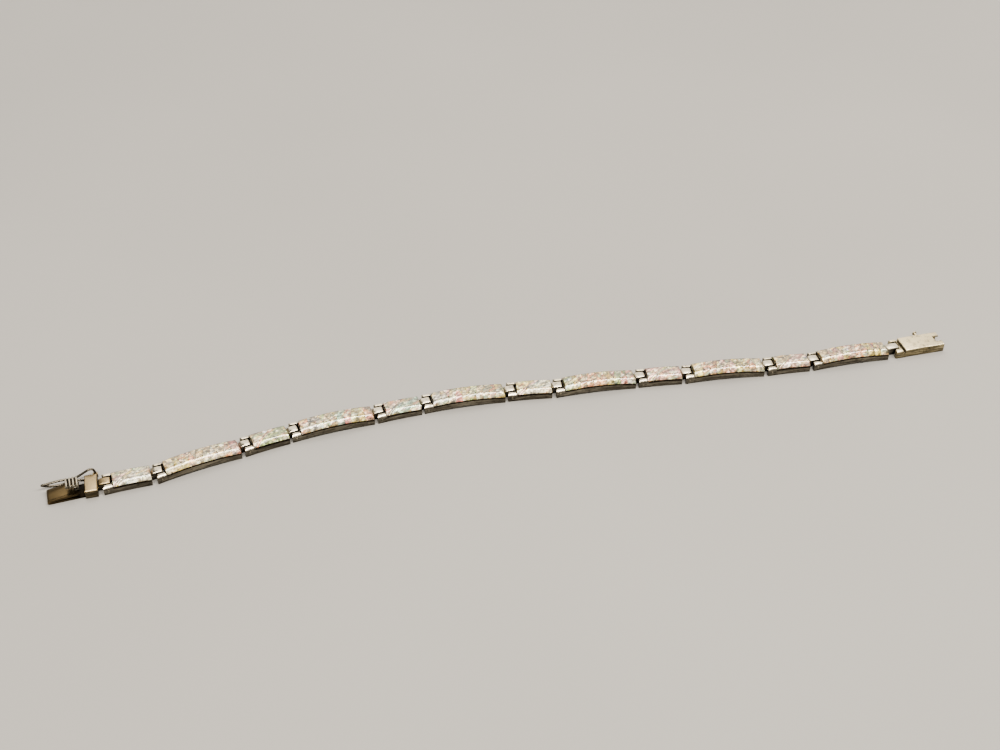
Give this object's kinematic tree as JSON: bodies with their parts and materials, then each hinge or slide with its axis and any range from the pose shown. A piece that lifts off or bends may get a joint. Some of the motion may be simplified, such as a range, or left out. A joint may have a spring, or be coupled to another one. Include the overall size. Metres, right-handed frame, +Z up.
{
  "type": "inlay link bracelet",
  "caption": "Narrow silver link bracelet with inlaid stones, hinged links, a sprung tongue and box clasp and a wire safety catch, lying open.",
  "frame": {"origin": "middle of the bracelet's footprint, on the surface that it lies on", "axes": "+Z up, +X along the bracelet from the tongue to the clasp box, +Y towards the side that carries the safety catch"},
  "size_m": [0.1854, 0.0122, 0.0032],
  "materials": {
    "silver": "polished sterling silver with fine wear and dark tarnish in the recesses",
    "aged_silver": "satin sterling silver, warm with tarnish",
    "brass": "spring brass, brown with tarnish",
    "blush_stone": "polished pink mother-of-pearl",
    "pale_stone": "polished pale mother-of-pearl",
    "mosaic_stone": "polished mother-of-pearl mosaic with fine silver lines"
  },
  "bodies": {
    "bracelet": {"spring_tongue": "brass", "thumb_press": "silver", "end_block": "aged_silver", "link_tray_01": "silver", "link_tray_02": "silver", "link_tray_03": "silver", "link_tray_04": "silver", "link_tray_05": "silver", "link_tray_06": "silver", "link_tray_07": "silver", "link_tray_08": "silver", "link_tray_09": "silver", "link_tray_10": "silver", "link_tray_11": "silver", "link_tray_12": "silver", "stone_left_01": "blush_stone", "stone_left_03": "blush_stone", "stone_left_05": "blush_stone", "stone_left_07": "blush_stone", "stone_left_09": "blush_stone", "stone_left_11": "blush_stone", "stone_right_01": "pale_stone", "stone_right_03": "pale_stone", "stone_right_05": "pale_stone", "stone_right_07": "pale_stone", "stone_right_09": "pale_stone", "stone_right_11": "pale_stone", "stone_field_02": "mosaic_stone", "stone_field_04": "mosaic_stone", "stone_field_06": "mosaic_stone", "stone_field_08": "mosaic_stone", "stone_field_10": "mosaic_stone", "stone_field_12": "mosaic_stone", "hinge_pin_01": "silver", "hinge_pin_02": "silver", "hinge_pin_03": "silver", "hinge_pin_04": "silver", "hinge_pin_05": "silver", "hinge_pin_06": "silver", "hinge_pin_07": "silver", "hinge_pin_08": "silver", "hinge_pin_09": "silver", "hinge_pin_10": "silver", "hinge_pin_11": "silver", "hinge_pin_12": "silver", "hinge_pin_13": "silver", "clasp_box": "aged_silver"},
    "safety_catch": {"safety_catch": "silver"}
  },
  "joints": [
    {"name": "catch_swing", "type": "hinge", "parent": "bracelet", "child": "safety_catch", "pos_m": [-0.08264, -0.00094, 0.001], "axis": [0, 0, -1], "range_deg": [0, 120]}
  ]
}
